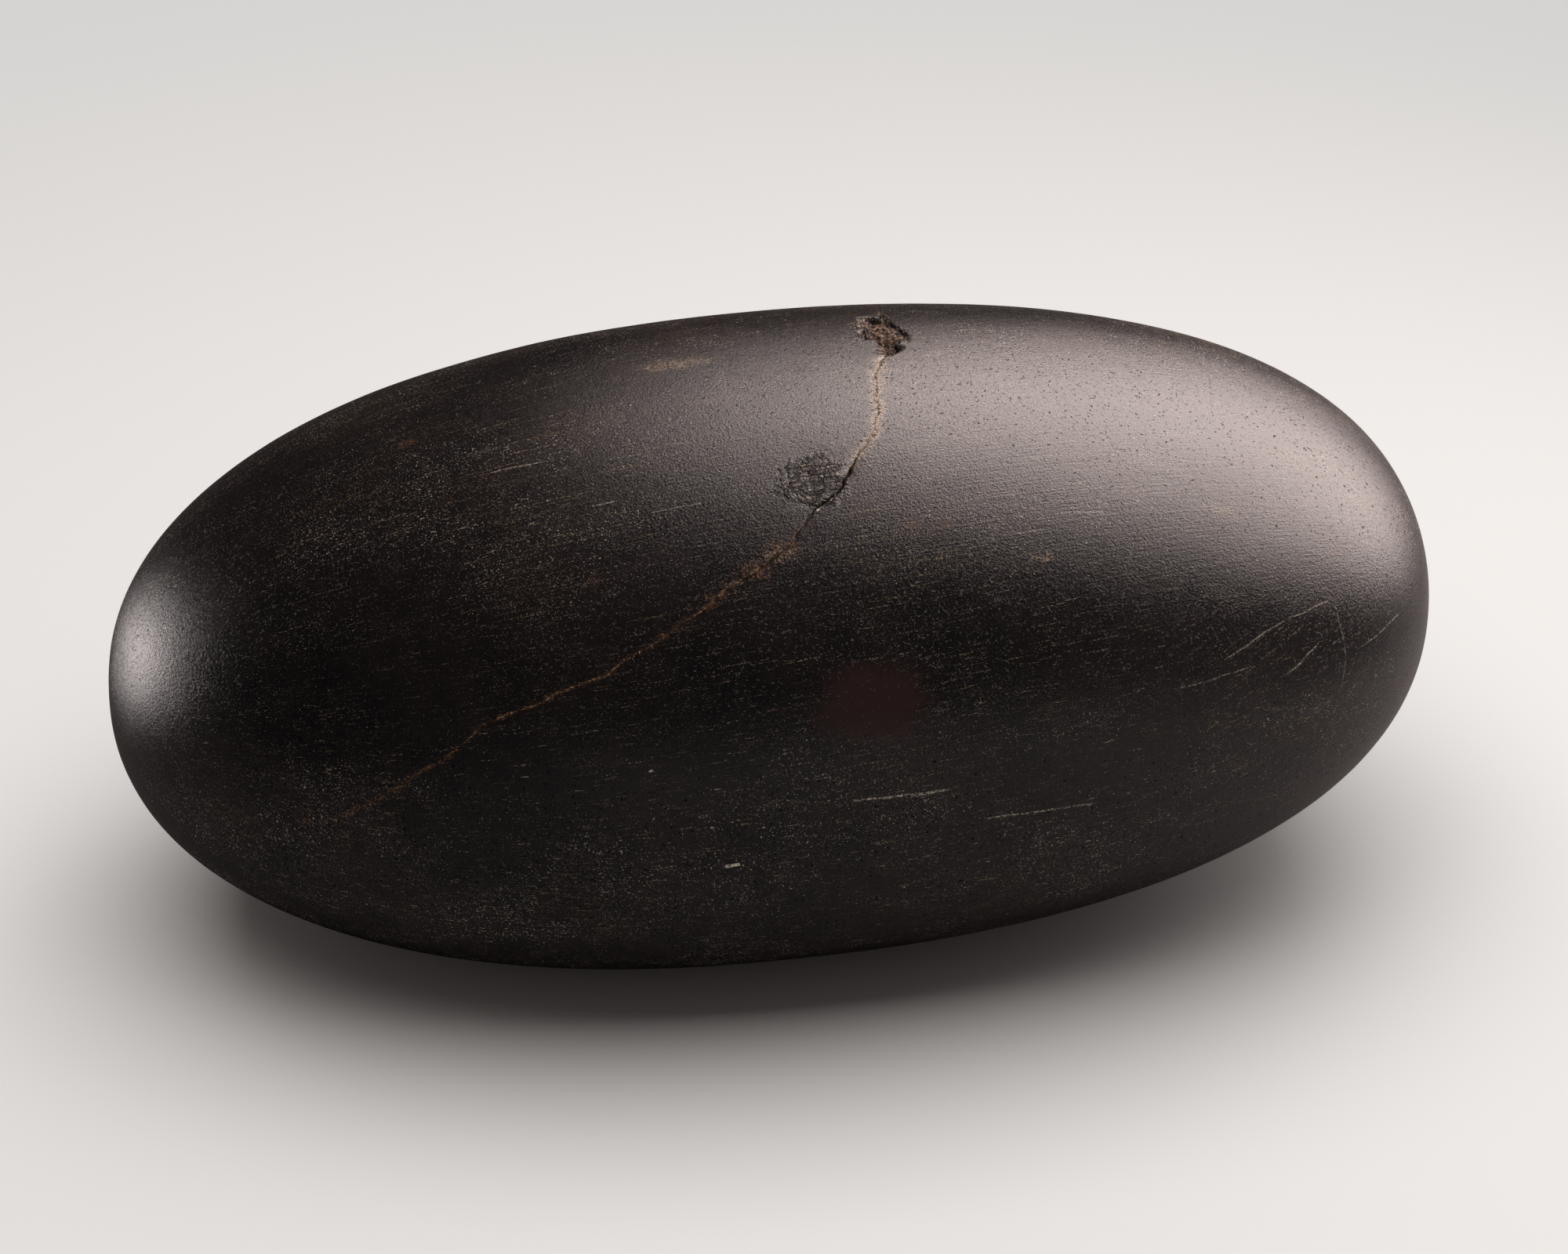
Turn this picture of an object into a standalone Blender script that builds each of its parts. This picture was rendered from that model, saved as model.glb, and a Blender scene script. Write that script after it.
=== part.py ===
"""Basalt massage stone: a long ground ovoid with a rest face, a chip and a crack healed with iron oxide.

Run it with blender --background --python part.py, or from Blender's text editor. Metres, +Z up.
X runs along the stone, -Y is the side that carries the crack, and Z = 0 is the rest face.
"""

import math

import bmesh
import bpy
from mathutils import Matrix, Vector

# The ovoid, before the rest face is ground into it.
STONE_LENGTH = 0.110
STONE_WIDTH = 0.064
STONE_HEIGHT = 0.049
END_RISE = 0.002  # how much higher the +X end lies than the middle, and the -X end lower
SECTION_FULLNESS = 2.1  # exponent of the cross-section: 2 is an ellipse, more is squarer
END_FULLNESS = 2.28  # exponent of the long outline, midway between the ends
END_FULLNESS_BIAS = 0.08  # the +X end is blunter than the -X end by this much either way
REST_DEPTH = 0.001  # ground off the underside

# Fineness of the round shapes.
STONE_SEGMENTS = 56
STONE_RINGS = 36
CHIP_SEGMENTS = 20
CHIP_RINGS = 10
STEPS_PER_STRETCH = 2

# Points on the stone are two angles in degrees: along is 0 at the +X end and 180 at the -X end, and
# around is 0 on the -Y side and 90 on the crest.
CRACK_PATH = [
    (79.5, 101.0),
    (80.0, 91.0),
    (82.0, 80.0),
    (82.0, 74.0),
    (84.5, 67.0),
    (85.5, 63.5),
    (87.5, 58.5),
    (90.0, 55.5),
    (91.0, 50.5),
    (95.0, 46.5),
    (98.0, 43.0),
    (101.0, 39.5),
    (105.0, 35.0),
    (108.0, 32.0),
    (112.0, 30.0),
    (116.0, 27.0),
    (118.5, 23.0),
    (123.0, 17.5),
    (128.0, 9.5),
    (132.0, 4.0),
]
UPPER_FILL = (2, 4)  # first and last point of CRACK_PATH that the deposit near the chip reaches
LOWER_FILL = (8, 19)  # the same for the long vein below the open stretch

# The crack is a round-bottomed groove that the deposits fill to the stone's surface.
GROOVE_WIDTH = 0.0014
GROOVE_TAPER = 0.7  # the groove's width at the path's far end, as a share of its width at the chip
CHIP_PLACE = (79.5, 101.0)
CHIP_LENGTH = 0.0080  # across the crest
CHIP_WIDTH = 0.0050
CHIP_DEPTH = 0.0016
CHIP_WAVES = 3  # lobes of the chip's outline
CHIP_WAVE_SHARE = 0.1  # their height, as a share of the chip's radius
FIT_GAP = 0.0003  # between the stone and each deposit in it

TUBE_RESOLUTION = 2  # bevel_resolution: eight sides
CUTTER_REACH = 0.01  # how far a cutter runs past the stone


def clear_scene():
    for obj in list(bpy.data.objects):
        bpy.data.objects.remove(obj, do_unlink=True)
    for collection in list(bpy.data.collections):
        bpy.data.collections.remove(collection)


def new_collection(name, hidden=False):
    collection = bpy.data.collections.new(name)
    collection.hide_render = hidden
    bpy.context.scene.collection.children.link(collection)
    return collection


def new_material(name, colour, roughness):
    material = bpy.data.materials.new(name)
    material.use_nodes = True
    shader = material.node_tree.nodes["Principled BSDF"]
    shader.inputs["Base Color"].default_value = (*colour, 1.0)
    shader.inputs["Roughness"].default_value = roughness
    shader.inputs["Metallic"].default_value = 0.0
    material.diffuse_color = (*colour, 1.0)
    return material


def add_object(name, data, collection, material=None):
    obj = bpy.data.objects.new(name, data)
    collection.objects.link(obj)
    if material:
        data.materials.append(material)
    else:
        obj.hide_render = True
        obj.display_type = "WIRE"
    return obj


def mesh_from(name, build):
    """A mesh filled by build(bm), smooth except at its edges."""
    bm = bmesh.new()
    build(bm)
    bmesh.ops.recalc_face_normals(bm, faces=bm.faces)
    mesh = bpy.data.meshes.new(name)
    bm.to_mesh(mesh)
    bm.free()
    mesh.shade_smooth()
    mesh.set_sharp_from_angle(angle=math.radians(40))
    return mesh


def ovoid_point(along, around, inset=0.0):
    """The point of the ovoid at two angles in radians, with each half size reduced by inset.

    It is a superellipsoid whose long exponent grows towards +X, sheared so that the +X end rises.
    """
    ahead, ring = math.cos(along), math.sin(along)
    long_power = END_FULLNESS + END_FULLNESS_BIAS * ahead
    reach = (abs(ahead) ** long_power + abs(ring) ** long_power) ** (-1 / long_power)
    side, top = abs(math.cos(around)) ** SECTION_FULLNESS, abs(math.sin(around)) ** SECTION_FULLNESS
    swell = (side + top) ** (-1 / SECTION_FULLNESS)
    x = (STONE_LENGTH / 2 - inset) * ahead * reach
    y = -(STONE_WIDTH / 2 - inset) * ring * reach * swell * math.cos(around)
    z = (STONE_HEIGHT / 2 - inset) * ring * reach * swell * math.sin(around)
    return Vector((x, y, z + END_RISE * ahead * reach))


def rest_level():
    """Height of the rest face below the ovoid's middle."""
    steps = 720
    lowest = min(ovoid_point(math.pi * i / steps, -math.pi / 2).z for i in range(1, steps))
    return lowest + REST_DEPTH


def stone_point(along, around, inset=0.0):
    """ovoid_point, moved so that the rest face is at Z = 0."""
    return ovoid_point(along, around, inset) - Vector((0, 0, rest_level()))


def stone_frame(along, around):
    """A matrix at a point of the stone: local X across the stone, Y along it and Z straight out."""
    step = 1e-4
    towards_end = stone_point(along - step, around) - stone_point(along + step, around)
    across = stone_point(along, around + step) - stone_point(along, around - step)
    out = towards_end.cross(across).normalized()
    across.normalize()
    turn = Matrix((across, out.cross(across), out)).transposed().to_4x4()
    return Matrix.Translation(stone_point(along, around)) @ turn


def ovoid_mesh(name, inset=0.0):
    """The whole ovoid, from a sphere with its poles on the X axis."""

    def build(bm):
        poles_on_x = Matrix.Rotation(math.pi / 2, 4, "Y")
        bmesh.ops.create_uvsphere(
            bm, u_segments=STONE_SEGMENTS, v_segments=STONE_RINGS, radius=1.0, matrix=poles_on_x
        )
        for vert in bm.verts:
            x, y, z = vert.co
            along = math.acos(max(-1.0, min(1.0, x)))
            vert.co = stone_point(along, math.atan2(z, -y), inset)

    return mesh_from(name, build)


def rest_cutter_mesh():
    """A block that takes everything below Z = 0."""
    size = Vector((STONE_LENGTH, STONE_WIDTH, STONE_HEIGHT)) + Vector((1, 1, 1)) * CUTTER_REACH
    place = Matrix.Translation((0, 0, -size.z / 2))

    def build(bm):
        bmesh.ops.create_cube(bm, size=1.0, matrix=place @ Matrix.Diagonal(size).to_4x4())

    return mesh_from("rest_cutter", build)


def chip_mesh(name, inset=0.0):
    """A lobed lens at the chip's place, half in and half out of the stone, drawn in all round by inset."""
    half_sizes = Vector((CHIP_LENGTH / 2, CHIP_WIDTH / 2, CHIP_DEPTH)) - Vector((1, 1, 1)) * inset
    place = stone_frame(*map(math.radians, CHIP_PLACE))

    def build(bm):
        bmesh.ops.create_uvsphere(bm, u_segments=CHIP_SEGMENTS, v_segments=CHIP_RINGS, radius=1.0)
        for vert in bm.verts:
            lobes = 1 + CHIP_WAVE_SHARE * math.cos(CHIP_WAVES * math.atan2(vert.co.y, vert.co.x))
            flat = Vector((vert.co.x * lobes, vert.co.y * lobes, vert.co.z))
            vert.co = place @ Vector(part * half for part, half in zip(flat, half_sizes))

    return mesh_from(name, build)


def crack_angles():
    """CRACK_PATH in radians, with each stretch cut into STEPS_PER_STRETCH."""
    points = []
    for (along_0, around_0), (along_1, around_1) in zip(CRACK_PATH, CRACK_PATH[1:]):
        for step in range(STEPS_PER_STRETCH):
            share = step / STEPS_PER_STRETCH
            along = along_0 + (along_1 - along_0) * share
            around = around_0 + (around_1 - around_0) * share
            points.append((math.radians(along), math.radians(around)))
    points.append(tuple(map(math.radians, CRACK_PATH[-1])))
    return points


def crack_tube(name, collection, inset=0.0, stretch=None, material=None):
    """A tube along the crack, thinner all round by inset, whose deposit would reach the surface.

    The groove and the deposits share one axis. stretch is (first, last), points of CRACK_PATH; a
    deposit that ends where the groove does stops short of it by the gap.
    """
    angles = crack_angles()
    first, last = (0, len(angles) - 1) if stretch is None else (n * STEPS_PER_STRETCH for n in stretch)
    curve = bpy.data.curves.new(name, "CURVE")
    curve.dimensions = "3D"
    curve.bevel_depth = 1.0
    curve.bevel_resolution = TUBE_RESOLUTION
    curve.use_fill_caps = True
    spline = curve.splines.new("POLY")
    spline.points.add(last - first)
    places = []
    for n in range(first, last + 1):
        share = n / (len(angles) - 1)
        groove_radius = GROOVE_WIDTH / 2 * (1 + (GROOVE_TAPER - 1) * share)
        axis_depth = groove_radius - FIT_GAP
        frame = stone_frame(*angles[n])
        places.append((frame @ Vector((0, 0, -axis_depth)), groove_radius - inset))
    if inset and last == len(angles) - 1:
        end, before = places[-1][0], places[-2][0]
        places[-1] = (end + (before - end).normalized() * FIT_GAP, places[-1][1])
    for point, (place, radius) in zip(spline.points, places):
        point.co = (*place, 1.0)
        point.radius = radius
    return add_object(name, curve, collection, material)


def made_mesh(curve_object, collection):
    """The curve object's tube as a closed mesh object, with the curve removed."""
    graph = bpy.context.evaluated_depsgraph_get()
    mesh = bpy.data.meshes.new_from_object(curve_object.evaluated_get(graph))
    bm = bmesh.new()
    bm.from_mesh(mesh)
    bmesh.ops.remove_doubles(bm, verts=bm.verts, dist=1e-6)
    bmesh.ops.recalc_face_normals(bm, faces=bm.faces)
    bm.to_mesh(mesh)
    bm.free()
    name, place = curve_object.name, curve_object.matrix_world.copy()
    bpy.data.objects.remove(curve_object, do_unlink=True)
    mesh.name = name
    obj = add_object(name, mesh, collection)
    obj.matrix_world = place
    return obj


def add_boolean(obj, operation, other):
    modifier = obj.modifiers.new(other.name, "BOOLEAN")
    modifier.operation = operation
    modifier.solver = "EXACT"
    modifier.object = other


def build_stone(parts, cutters):
    """The stone itself, with its rest face, chip and crack cut into it."""
    basalt = new_material("basalt", (0.018, 0.016, 0.018), 0.42)
    stone = add_object("stone_body", ovoid_mesh("stone_body"), parts, basalt)
    add_boolean(stone, "DIFFERENCE", add_object("rest_cutter", rest_cutter_mesh(), cutters))
    add_boolean(stone, "DIFFERENCE", add_object("chip_cutter", chip_mesh("chip_cutter"), cutters))
    groove = made_mesh(crack_tube("crack_cutter", cutters), cutters)
    add_boolean(stone, "DIFFERENCE", groove)


def build_chip_crust(parts, cutters):
    """The rusty crust on the chip's floor, kept below the stone's surface by the gap."""
    rust = new_material("rust_crust", (0.11, 0.055, 0.035), 0.9)
    crust = add_object("chip_crust", chip_mesh("chip_crust", FIT_GAP), parts, rust)
    limit = add_object("crust_limit", ovoid_mesh("crust_limit", FIT_GAP), cutters)
    add_boolean(crust, "INTERSECT", limit)


def build_crack_fills(parts):
    """The two deposits that close the crack."""
    ochre = new_material("ochre_fill", (0.24, 0.13, 0.06), 0.85)
    crack_tube("upper_crack_fill", parts, FIT_GAP, UPPER_FILL, ochre)
    crack_tube("lower_crack_fill", parts, FIT_GAP, LOWER_FILL, ochre)


def main():
    clear_scene()
    parts = new_collection("basalt_massage_stone")
    cutters = new_collection("cutters", hidden=True)
    build_stone(parts, cutters)
    build_chip_crust(parts, cutters)
    build_crack_fills(parts)


main()
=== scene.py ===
import math

import bpy
import numpy as np
from mathutils import Matrix, Vector


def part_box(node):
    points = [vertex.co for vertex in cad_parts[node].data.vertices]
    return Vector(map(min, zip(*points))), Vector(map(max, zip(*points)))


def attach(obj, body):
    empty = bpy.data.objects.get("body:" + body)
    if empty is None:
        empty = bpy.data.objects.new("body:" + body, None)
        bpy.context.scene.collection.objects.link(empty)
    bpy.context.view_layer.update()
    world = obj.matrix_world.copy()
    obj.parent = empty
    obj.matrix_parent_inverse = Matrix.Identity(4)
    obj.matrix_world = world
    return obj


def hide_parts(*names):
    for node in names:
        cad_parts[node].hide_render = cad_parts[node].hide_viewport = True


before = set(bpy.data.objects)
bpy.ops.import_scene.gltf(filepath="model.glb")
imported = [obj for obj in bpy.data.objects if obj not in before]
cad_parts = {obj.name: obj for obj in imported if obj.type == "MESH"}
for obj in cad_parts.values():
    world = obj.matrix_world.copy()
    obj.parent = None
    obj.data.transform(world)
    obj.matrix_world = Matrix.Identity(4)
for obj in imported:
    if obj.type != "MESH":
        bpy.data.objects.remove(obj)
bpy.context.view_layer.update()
print("frame loaded:", sorted(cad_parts))

# lengths are in metres; anything named in mm is turned into metres by this
mm = 0.001

stone = {
    "name": "groundStone",
    "restDepth": 1.0 * mm,      # ground off the underside
    "endRise": 2.0 * mm,        # the +X end lies this much higher than the middle
    "sectionFullness": 2.1,     # 2 is an ellipse, more is squarer
    "endFullness": 2.28,
    "endFullnessBias": 0.08,    # the +X end is blunter
    "rings": 330,
    "columns": 300,
    "crackCrowding": 0.35,      # share of extra rings that follow the crack
    "crackReach": math.radians(3.0),
    "frontFrom": math.radians(-20),
    "frontTo": math.radians(118),
    "frontSoft": math.radians(12),
    "backShare": 0.2,           # columns at the back are this dense, against the front
    "restSoftness": 0.12 * mm,  # rounding where the rest face meets the side
    # height, cell and seed of the lumps in its skin
    "skin": [(0.11 * mm, 21 * mm, 1), (0.035 * mm, 8 * mm, 2), (0.006 * mm, 1.6 * mm, 3)],
}

# the crack's way over the stone in degrees: along is 0 at the +X end, around is 0 in front and 90 on the crest
crack = {
    "path": [
        (78.8, 114.0), (79.0, 101.0), (79.7, 91.7), (80.5, 89.5), (81.3, 86.8), (82.0, 80.3), (82.1, 76.0),
        (82.5, 72.8), (83.3, 69.8), (84.8, 66.5), (85.5, 63.3), (86.2, 61.2), (87.5, 59.0), (89.0, 57.0),
        (89.8, 55.0), (90.2, 53.5), (91.5, 50.8), (93.0, 49.2), (94.5, 47.2), (96.2, 45.5), (98.8, 42.0),
        (100.8, 40.0), (103.2, 37.0), (105.3, 35.0), (107.2, 32.5), (109.0, 31.5), (111.5, 30.0),
        (112.8, 28.5), (115.0, 27.4), (117.5, 25.5), (119.2, 22.0), (122.8, 16.8), (125.0, 13.8),
        (127.2, 10.5), (131.5, 4.5), (144.0, -3.0),
    ],
    "wanderFrom": math.radians(-30),
    "wanderTo": math.radians(140),
    "wanderSeed": 11,
    "jag": math.radians(0.16),      # sideways wander of the crack
    "jagStep": math.radians(1.7),
    "fineJag": math.radians(0.13),
    "fineStep": math.radians(0.62),
    "depth": 0.55 * mm,
    "wall": (0.15, 1.15),           # from the floor's edge to the rim, in half widths
    "lipDepth": 0.05 * mm,
    "lipReach": 0.5 * mm,
    "flicker": (0.45, 1.6, 5),      # how much its width varies, over how many degrees, and the seed
    # around in degrees, half width in mm, share of the full depth
    "openness": [
        (-4, 0.05, 0.00), (3, 0.05, 0.05), (20, 0.06, 0.10), (45, 0.07, 0.20), (51, 0.09, 0.35),
        (54, 0.10, 0.50), (57, 0.09, 0.70), (60, 0.11, 0.90), (64, 0.13, 0.95), (66, 0.08, 0.40),
        (69, 0.05, 0.06), (76, 0.05, 0.03), (86, 0.06, 0.08), (90, 0.14, 0.60), (93, 0.20, 1.00),
        (101, 0.22, 1.00), (110, 0.10, 0.30), (116, 0.05, 0.00),
    ],
}

chip = {
    "along": math.radians(79.7),
    "around": math.radians(100.0),
    "acrossHalf": 4.6 * mm,     # over the crest
    "lengthHalf": 1.75 * mm,
    "depth": 0.30 * mm,
    "cavities": 0.55 * mm,      # deeper still in places
    "wall": (0.68, 0.95),       # from the floor's edge to the rim, as a share of its size
    "skinWall": (0.90, 1.04),   # where its finish stops, likewise
    "ragged": [(0.38, 1.5 * mm, 7), (0.34, 0.6 * mm, 8)],
    "broken": [(1.0, 1.1 * mm, 9), (0.6, 0.5 * mm, 10)],
    "under": -6 * mm,           # the mask stops this far below the skin, so it misses the far side
}

pitting = {
    "along": math.radians(88.6),
    "around": math.radians(62.5),
    "half": 3.9 * mm,
    "depth": 0.15 * mm,
    "wall": (0.35, 1.0),
    "under": -4 * mm,
    "holes": (0.42 * mm, 16),       # cell and seed
    "lines": (0.35 * mm, 17),
    "stretch": (0.22, 1, 1),        # lines run along X
}


def lumps(points, cell, seed):
    # smooth value noise from -1 to 1: random values on a cubic lattice, eased and blended between its corners
    side = 32
    table = np.random.default_rng(seed).random((side, side, side)) * 2 - 1
    scaled = points / cell
    corner = np.floor(scaled).astype(int)
    part = scaled - corner
    part = part * part * (3 - 2 * part)
    total = np.zeros(points.shape[:-1])
    for dx in (0, 1):
        for dy in (0, 1):
            for dz in (0, 1):
                share = np.abs(1 - np.array([dx, dy, dz]) - part).prod(axis=-1)
                index = (corner + np.array([dx, dy, dz])) % side
                total += share * table[index[..., 0], index[..., 1], index[..., 2]]
    return total


def layered(points, layers):
    # a sum of value noises, each given as its height, cell and seed
    return sum(height * lumps(points, cell, seed) for height, cell, seed in layers)


def eased(value, low, high):
    # 0 below low, 1 above high, with a smooth step between
    part = np.clip((value - low) / (high - low), 0, 1)
    return part * part * (3 - 2 * part)


def ovoidPoints(along, around, half):
    # superellipsoid: the long outline |x|^n + |r|^n = 1, whose n grows towards +X, and a section
    # |y|^m + |z|^m = r^m, sheared upwards towards +X
    ahead, ring = np.cos(along), np.sin(along)
    power = stone["endFullness"] + stone["endFullnessBias"] * ahead
    reach = (np.abs(ahead) ** power + np.abs(ring) ** power) ** (-1 / power)
    section = stone["sectionFullness"]
    swell = (np.abs(np.cos(around)) ** section + np.abs(np.sin(around)) ** section) ** (-1 / section)
    x = half[0] * ahead * reach
    y = -half[1] * ring * reach * swell * np.cos(around)
    z = half[2] * ring * reach * swell * np.sin(around) + stone["endRise"] * ahead * reach
    return np.stack(np.broadcast_arrays(x, y, z), axis=-1)


def stoneSizes():
    # half sizes and the height of the ovoid's middle, such that the cut ovoid fills the CAD stone's box
    low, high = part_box("stone_body")
    tall = high.z - low.z + stone["restDepth"]
    half = [(high.x - low.x) / 2, (high.y - low.y) / 2, tall / 2]
    along = np.linspace(0.01, math.pi - 0.01, 721)
    for _ in range(4):
        crest = ovoidPoints(along, math.pi / 2, half)[:, 2].max()
        keel = ovoidPoints(along, -math.pi / 2, half)[:, 2].min()
        half[2] *= tall / (crest - keel)
    return half, low.z - keel - stone["restDepth"]


halfSizes, middleHeight = stoneSizes()


def stonePoints(along, around):
    return ovoidPoints(along, around, halfSizes) + np.array([0, 0, middleHeight])


def stoneDirections(along, around):
    # unit vectors on the stone: out of it, and the lengths of a radian along and around
    step = 1e-4
    endwise = (stonePoints(along - step, around) - stonePoints(along + step, around)) / (2 * step)
    across = (stonePoints(along, around + step) - stonePoints(along, around - step)) / (2 * step)
    out = np.cross(endwise, across)
    out /= np.linalg.norm(out, axis=-1, keepdims=True)
    return out, np.linalg.norm(endwise, axis=-1), np.linalg.norm(across, axis=-1)


def pathAlong(around):
    # the listed crack: its angle along the stone at each angle around it
    path = np.radians(np.array(crack["path"]))[::-1]
    return np.interp(around, path[:, 1], path[:, 0])


def crackAlong(around):
    # the path with a jagged wander, from random values joined by straight lines
    steps = np.arange(crack["wanderFrom"], crack["wanderTo"], crack["jagStep"])
    chance = np.random.default_rng(crack["wanderSeed"])
    wander = chance.uniform(-1, 1, len(steps)) * crack["jag"]
    fine = np.arange(steps[0], steps[-1], crack["fineStep"])
    nicks = chance.uniform(-1, 1, len(fine)) * crack["fineJag"]
    return pathAlong(around) + np.interp(around, steps, wander) + np.interp(around, fine, nicks)


def crackOpenness(around):
    # half width and depth in metres, read off the table, the width flickering with value noise
    place, halfWidth, share = np.array(crack["openness"], float).T
    degrees = np.degrees(around)
    flicker = 1 + layered(np.stack([degrees, degrees * 0, degrees * 0], axis=-1), [crack["flicker"]])
    halfWidth = np.interp(degrees, place, halfWidth) * mm * flicker
    return halfWidth, np.interp(degrees, place, share) * crack["depth"]


def columnAngles():
    # angles round the stone, closer together over the front and crest: the running sum of a density, read
    # backwards
    angles = np.linspace(-math.pi, math.pi, 2881)
    soft = stone["frontSoft"]
    front = eased(angles, stone["frontFrom"] - soft, stone["frontFrom"] + soft) * (
        1 - eased(angles, stone["frontTo"] - soft, stone["frontTo"] + soft)
    )
    density = stone["backShare"] + (1 - stone["backShare"]) * front
    total = np.concatenate([[0], np.cumsum((density[1:] + density[:-1]) / 2)])
    wanted = np.arange(stone["columns"]) / stone["columns"] * total[-1]
    return np.interp(wanted, total, angles)


def ringAngles(columns):
    # angles along the stone, ring by column: an even spread plus a tanh step at the crack, solved by halving
    target = crackAlong(columns)
    window = eased(columns, math.radians(-25), math.radians(-4)) * (
        1 - eased(columns, math.radians(116), math.radians(135))
    )
    crowd = stone["crackCrowding"] * window
    reach = stone["crackReach"] * (1 + 0.5 * np.exp(-(((columns - pitting["around"]) / math.radians(9)) ** 2)))

    def share(along):
        return along / math.pi + crowd / 2 * (np.tanh((along - target) / reach) - np.tanh(-target / reach))

    spaced = np.arange(1, stone["rings"] + 1) / (stone["rings"] + 1)
    wanted = spaced[:, None] * share(np.full_like(target, math.pi))
    low, high = np.zeros_like(wanted), np.full_like(wanted, math.pi)
    for _ in range(40):
        middle = (low + high) / 2
        below = share(middle) < wanted
        low, high = np.where(below, middle, low), np.where(below, high, middle)
    return (low + high) / 2


def localPlace(points, spot):
    # how far points lie from a spot on the stone, across it and lengthwise, in metres
    at = stonePoints(spot["along"], spot["around"])
    out, _, _ = stoneDirections(spot["along"], spot["around"])
    lengthwise = np.cross(out, [0, 0, 1.0]) if abs(out[2]) < 0.5 else np.cross([0, 1.0, 0], out)
    lengthwise /= np.linalg.norm(lengthwise)
    across = np.cross(out, lengthwise)
    gap = points - at
    return gap @ across, gap @ lengthwise, gap @ out


def crackDistance(along, around):
    # how far a point lies from the crack's line, measured square to the line, from the slope of its path
    line = crackAlong(around)
    step = math.radians(1.5)
    slope = (pathAlong(around + step) - pathAlong(around - step)) / (2 * step)
    _, perAlong, perAround = stoneDirections(line, around)
    return (along - line) * perAlong * perAround / np.hypot(perAlong * slope, perAround)


def stoneRelief(points, along, around):
    # height of the fine surface over the plain ovoid, in metres: its skin, less the crack or the chip,
    # whichever is deeper, less the pits; and the masks that the finish reads
    gap = crackDistance(along, around)
    halfWidth, depth = crackOpenness(around)
    groove = -depth * (1 - eased(np.abs(gap) / halfWidth, *crack["wall"]))
    opened = np.clip(depth / crack["depth"], 0, 1)
    lip = -crack["lipDepth"] * np.exp(-((gap / crack["lipReach"]) ** 2)) * opened

    across, lengthwise, above = localPlace(points, chip)
    reach = np.hypot(across / chip["acrossHalf"], lengthwise / chip["lengthHalf"])
    reach = reach / (1 + layered(points, chip["ragged"]))
    inChip = (1 - eased(reach, *chip["wall"])) * (above > chip["under"])
    chipSkin = (1 - eased(reach, *chip["skinWall"])) * (above > chip["under"])
    broken = np.clip(0.2 + layered(points, chip["broken"]), -0.15, 1)
    hollow = -inChip * (chip["depth"] + chip["cavities"] * broken)

    across, lengthwise, above = localPlace(points, pitting)
    reach = np.hypot(across, lengthwise) / pitting["half"]
    inPits = (1 - eased(reach, *pitting["wall"])) * (above > pitting["under"])
    holes = np.clip(lumps(points, *pitting["holes"]), 0, 1)
    lines = np.clip(lumps(points * np.array(pitting["stretch"]), *pitting["lines"]), 0, 1)
    pitted = -inPits * pitting["depth"] * (holes + 0.8 * lines)

    relief = layered(points, stone["skin"]) + np.minimum(groove, hollow) + lip + pitted
    masks = {
        "crackGap": np.clip(np.abs(gap) / mm, 0, 20),
        "crackAround": (np.degrees(around) + 90) % 360 - 90,  # its jump lies on the underside
        "inGroove": np.clip(-groove / crack["depth"], 0, 1),
        "inChip": chipSkin,
        "inPits": inPits,
    }
    return relief, masks


def grainPlace(points):
    # a place that runs with the stone's long lines, in mm: x stays, y and z are spread to the widest section
    share = np.clip(np.abs(points[..., 0]) / halfSizes[0], 0, 1)
    ringSize = np.maximum((1 - share ** stone["endFullness"]) ** (1 / stone["endFullness"]), 0.3)
    x, y, z = points[..., 0], points[..., 1], points[..., 2] - middleHeight
    return np.stack([x, y / ringSize, z / ringSize], axis=-1) / mm


def gridFaces(rows, columns, firstPole, lastPole):
    # quads of a tube of rows whose columns close on themselves, with a fan of triangles to a pole at each end
    index = np.arange(rows * columns).reshape(rows, columns)
    turned = np.roll(index, -1, axis=1)
    quads = np.stack([index[:-1], turned[:-1], turned[1:], index[1:]], axis=-1).reshape(-1, 4)
    first = np.stack([np.full(columns, firstPole), turned[0], index[0]], axis=-1)
    last = np.stack([np.full(columns, lastPole), index[-1], turned[-1]], axis=-1)
    return [*quads.tolist(), *first.tolist(), *last.tolist()]


def makePiece(name, points, faces, replaced, attributes=None):
    mesh = bpy.data.meshes.new(name)
    mesh.from_pydata(points.tolist(), [], faces)
    mesh.shade_smooth()
    for key, values in (attributes or {}).items():
        kind = "FLOAT_VECTOR" if values.ndim == 2 else "FLOAT"
        layer = mesh.attributes.new(key, kind, "POINT")
        layer.data.foreach_set("vector" if values.ndim == 2 else "value", values.astype(np.float32).ravel())
    mesh.update()
    areas, centres, normals = np.empty(len(faces)), np.empty(len(faces) * 3), np.empty(len(faces) * 3)
    mesh.polygons.foreach_get("area", areas)
    mesh.polygons.foreach_get("center", centres)
    mesh.polygons.foreach_get("normal", normals)
    volume = (areas * (centres * normals).reshape(-1, 3).sum(axis=1)).sum()
    if volume < 0:
        mesh.flip_normals()
        print(name, "turned its faces outwards")
    piece = bpy.data.objects.new(name, mesh)
    bpy.context.scene.collection.objects.link(piece)
    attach(piece, "root")
    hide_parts(replaced)
    groups["stoneGroup"].objects.link(piece)
    print(name, "has", len(mesh.polygons), "faces")
    return piece


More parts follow.
